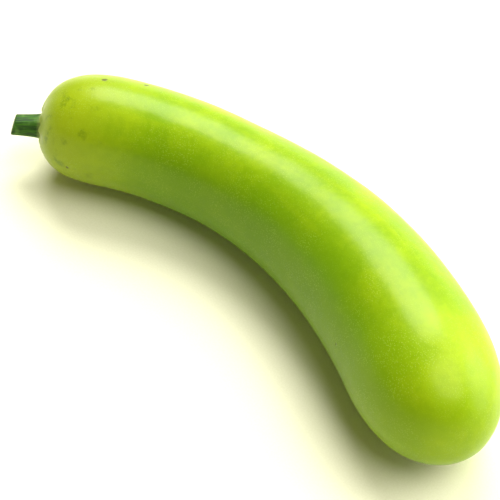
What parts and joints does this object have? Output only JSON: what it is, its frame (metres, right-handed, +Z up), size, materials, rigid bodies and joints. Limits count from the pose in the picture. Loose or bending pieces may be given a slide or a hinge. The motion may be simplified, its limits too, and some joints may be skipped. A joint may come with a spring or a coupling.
{
  "type": "bottle gourd",
  "caption": "Long curved pale green bottle gourd, picked young as a vegetable, lying on its side with a slimmer neck, a fuller blossom end and a short cut stem.",
  "frame": {"origin": "middle of the footprint's bounding box, on the surface that the gourd lies on", "axes": "+X along the gourd from its stem to its blossom end, +Y towards the outside of its bend, +Z up"},
  "size_m": [0.3702, 0.1164, 0.0834],
  "materials": {
    "gourd_skin": "smooth waxy plant skin, bright yellow-green with fine pale flecks, soft sheen",
    "stem": "dark green ribbed stem, slightly hairy, with a dull pale fibrous cut end"
  },
  "bodies": {
    "root": {"gourd_fruit": "gourd_skin", "stem_stub": "stem"}
  },
  "joints": []
}
